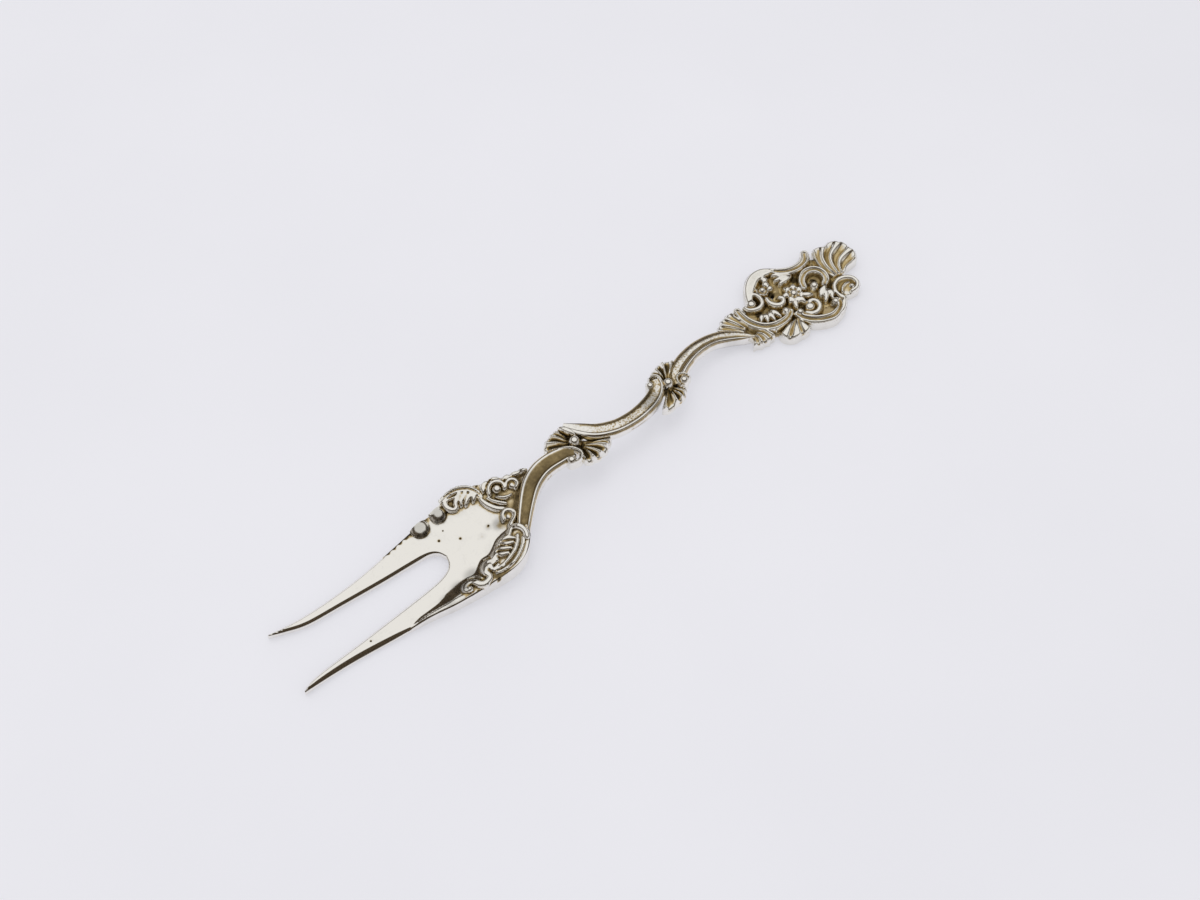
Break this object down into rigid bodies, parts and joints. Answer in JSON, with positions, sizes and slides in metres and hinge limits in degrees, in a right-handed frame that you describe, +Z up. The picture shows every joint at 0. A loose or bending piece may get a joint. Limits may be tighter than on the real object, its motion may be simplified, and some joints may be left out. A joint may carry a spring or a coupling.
{
  "type": "pickle fork",
  "caption": "Small rococo serving fork in cast silver: two long tines on a scrolled blade, an S-curved grooved stem with shell knops and an openwork flower and shell finial.",
  "frame": {"origin": "on the table under the middle of the bounding box, with the fork lying on its back", "axes": "+X from the tines to the finial, +Y towards the left tine, +Z up through the chased face"},
  "size_m": [0.1516, 0.0224, 0.0096],
  "materials": {
    "silver_bright": "polished cast silver",
    "silver_oxidised": "chased silver with dark oxidised hollows and bright ridges"
  },
  "bodies": {
    "root": {"blade": "silver_bright", "neck": "silver_bright", "lower_knop": "silver_bright", "middle_stem": "silver_bright", "upper_knop": "silver_bright", "upper_stem": "silver_bright", "finial_frame": "silver_bright", "left_tine_scroll": "silver_oxidised", "left_border_scroll": "silver_oxidised", "left_shoulder_scroll": "silver_oxidised", "rosette_bead": "silver_oxidised", "rosette_scroll": "silver_oxidised", "crown_scroll": "silver_oxidised", "crown_curl": "silver_oxidised", "crown_leaf": "silver_oxidised", "crown_frond": "silver_oxidised", "centre_curl": "silver_oxidised", "left_acanthus": "silver_oxidised", "right_rim_rail": "silver_oxidised", "right_tine_scroll": "silver_oxidised", "right_shoulder_scroll": "silver_oxidised", "right_border_scroll": "silver_oxidised", "right_inner_rail": "silver_oxidised", "right_acanthus": "silver_oxidised", "lower_bead": "silver_oxidised", "upper_bead": "silver_oxidised", "lower_left_fan": "silver_oxidised", "lower_right_fan": "silver_oxidised", "upper_left_fan": "silver_oxidised", "upper_right_fan": "silver_oxidised", "neck_curl": "silver_oxidised", "middle_curl": "silver_oxidised", "upper_curl": "silver_oxidised", "collar_fan": "silver_oxidised", "collar_leaf": "silver_oxidised", "lower_c_scroll": "silver_oxidised", "volute_bead": "silver_oxidised", "left_volute": "silver_oxidised", "left_inner_curl": "silver_oxidised", "lower_leaf": "silver_oxidised", "left_bulge": "silver_oxidised", "left_bead": "silver_oxidised", "tongue_leaf": "silver_oxidised", "crest_left_scroll": "silver_oxidised", "small_shell": "silver_oxidised", "upper_inner_scroll": "silver_oxidised", "crest_right_curl": "silver_oxidised", "crest_shell": "silver_oxidised", "flower_bead": "silver_oxidised", "flower": "silver_oxidised", "flower_leaf": "silver_oxidised", "right_c_scroll": "silver_oxidised", "right_c_rail": "silver_oxidised", "right_inner_scroll": "silver_oxidised", "right_bead": "silver_oxidised", "ragged_leaf": "silver_oxidised", "bottom_shell": "silver_oxidised"}
  },
  "joints": []
}
